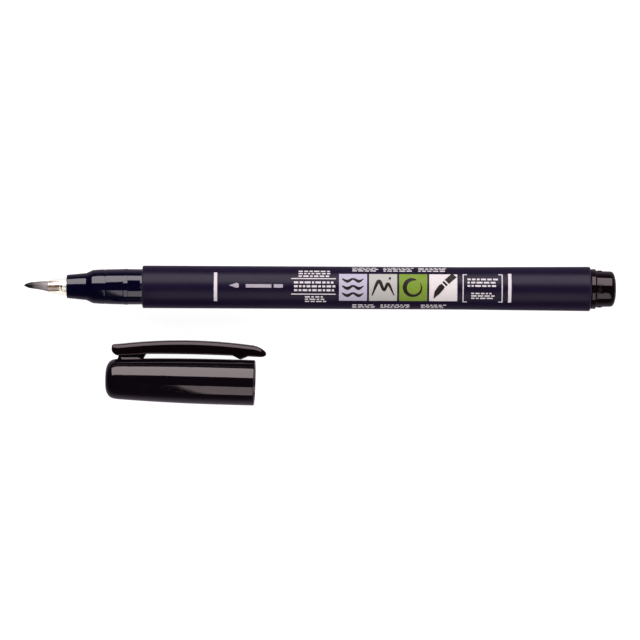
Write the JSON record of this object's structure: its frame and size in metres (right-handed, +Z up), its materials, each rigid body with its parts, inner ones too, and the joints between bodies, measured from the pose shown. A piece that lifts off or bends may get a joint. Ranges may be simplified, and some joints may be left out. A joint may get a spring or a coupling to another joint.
{
  "type": "brush pen",
  "caption": "Fibre-reservoir brush pen with a flexible tip, shown uncapped, its push-on cap with a pocket clip lying beside it.",
  "frame": {"origin": "middle of the whole object's footprint (pen and loose cap together), on the surface it lies on", "axes": "+X along the pen from the nib to the tail, +Z up from the surface, the cap on the -Y side of the pen"},
  "size_m": [0.1294, 0.0308, 0.0103],
  "materials": {
    "barrel_plastic": "satin moulded plastic, very dark navy",
    "gloss_black": "polished moulded plastic, black",
    "clear_plastic": "clear, faintly amber",
    "tip_elastomer": "matte, ink-black at the point, grey-brown further back",
    "milky_plastic": "natural, translucent white",
    "inked_fibre": "bonded fibre soaked with black ink",
    "film": "thin clear film",
    "inner_cap_plastic": "satin moulded plastic, dark grey"
  },
  "bodies": {
    "pen": {"barrel": "barrel_plastic", "front_section": "gloss_black", "tip_collar": "clear_plastic", "relay_tube": "milky_plastic", "relay_core": "inked_fibre", "reservoir_fibre": "inked_fibre", "reservoir_film": "film", "tail_plug": "gloss_black"},
    "tip": {"brush_tip": "tip_elastomer"},
    "cap": {"cap_shell": "gloss_black", "inner_cap": "inner_cap_plastic"},
    "clip": {"clip": "gloss_black"}
  },
  "joints": [
    {"name": "cap_pull", "type": "slide", "parent": "pen", "child": "cap", "axis": [-1, 0, 0], "range_m": [0, 0.052]},
    {"name": "clip_flex", "type": "hinge", "parent": "cap", "child": "clip", "pos_m": [-0.0441, -0.00502, 0.0046], "axis": [-0.0223, 0.0005, 0.9998], "range_deg": [0, 4], "stiffness_Nm_per_rad": 0.3},
    {"name": "tip_flex", "type": "hinge", "parent": "pen", "child": "tip", "pos_m": [-0.05912, 0.01051, 0.00486], "axis": [0, 0, 1], "range_deg": [-10, 10], "stiffness_Nm_per_rad": 0.007}
  ]
}
